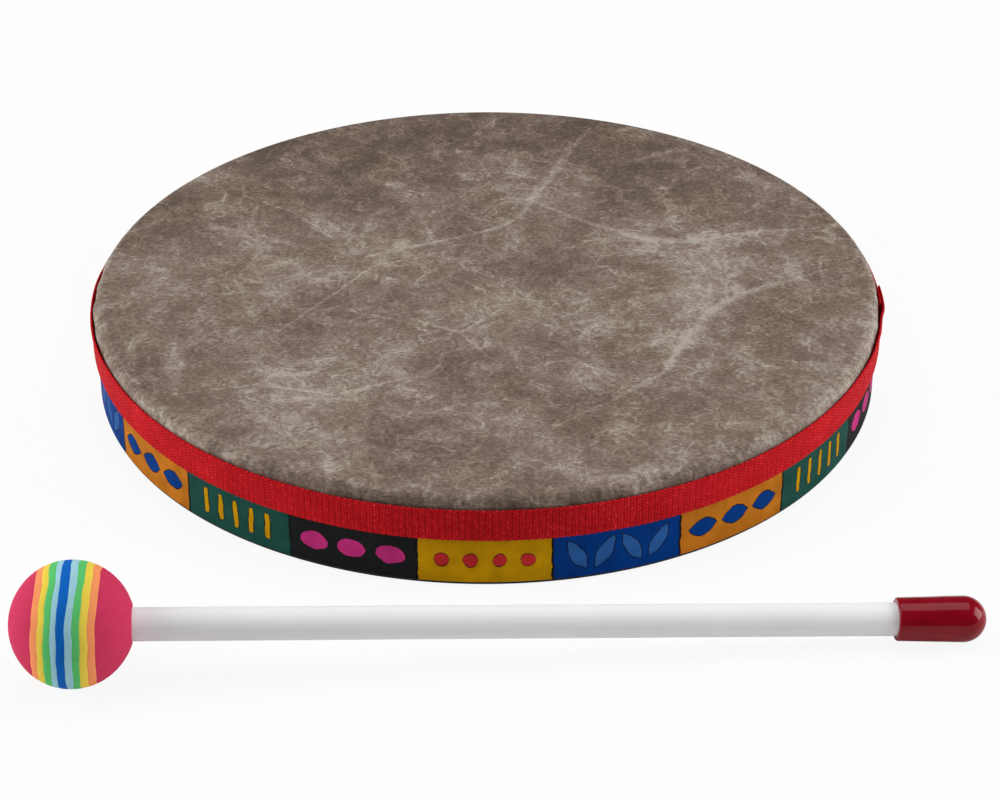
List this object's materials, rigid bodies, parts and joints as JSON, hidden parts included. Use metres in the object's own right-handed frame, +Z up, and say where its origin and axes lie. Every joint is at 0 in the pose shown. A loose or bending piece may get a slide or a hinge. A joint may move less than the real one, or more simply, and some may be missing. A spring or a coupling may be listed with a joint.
{
  "type": "frame drum with mallet",
  "caption": "Shallow round hand drum with a fixed film head, woven rim band and printed shell, and its striped foam-ball mallet lying in front.",
  "frame": {"origin": "centre of the shell's bottom rim, on the surface that the drum lies on", "axes": "+Z up through the head; the mallet lies on the -Y side, its ball towards -X and its grip cap towards +X"},
  "size_m": [0.2752, 0.3177, 0.0364],
  "materials": {
    "black_fibre": "matte",
    "head_film": "satin",
    "clear_glue": "satin",
    "red_webbing": "matte",
    "printed_film": "gloss",
    "foam_pink": "matte",
    "foam_orange": "matte",
    "foam_yellow": "matte",
    "foam_green": "matte",
    "foam_pale_blue": "matte",
    "foam_blue": "matte",
    "white_plastic": "satin",
    "red_vinyl": "gloss"
  },
  "bodies": {
    "drum": {"shell": "black_fibre", "head": "head_film", "head_adhesive": "clear_glue", "rim_band": "red_webbing", "band_adhesive": "clear_glue", "shell_wrap": "printed_film"},
    "mallet": {"ball_disc_01_pink": "foam_pink", "ball_disc_02_orange": "foam_orange", "ball_disc_03_yellow": "foam_yellow", "ball_disc_04_green": "foam_green", "ball_disc_05_pale_blue": "foam_pale_blue", "ball_disc_06_blue": "foam_blue", "ball_disc_07_pale_blue": "foam_pale_blue", "ball_disc_08_green": "foam_green", "ball_disc_09_yellow": "foam_yellow", "ball_disc_10_orange": "foam_orange", "ball_disc_11_pink": "foam_pink", "ball_adhesive": "clear_glue", "handle_tube": "white_plastic", "grip_cap": "red_vinyl"}
  },
  "joints": [
    {"name": "mallet_lift", "type": "slide", "parent": "drum", "child": "mallet", "axis": [0, 0, 1], "range_m": [0, 0.15]}
  ]
}
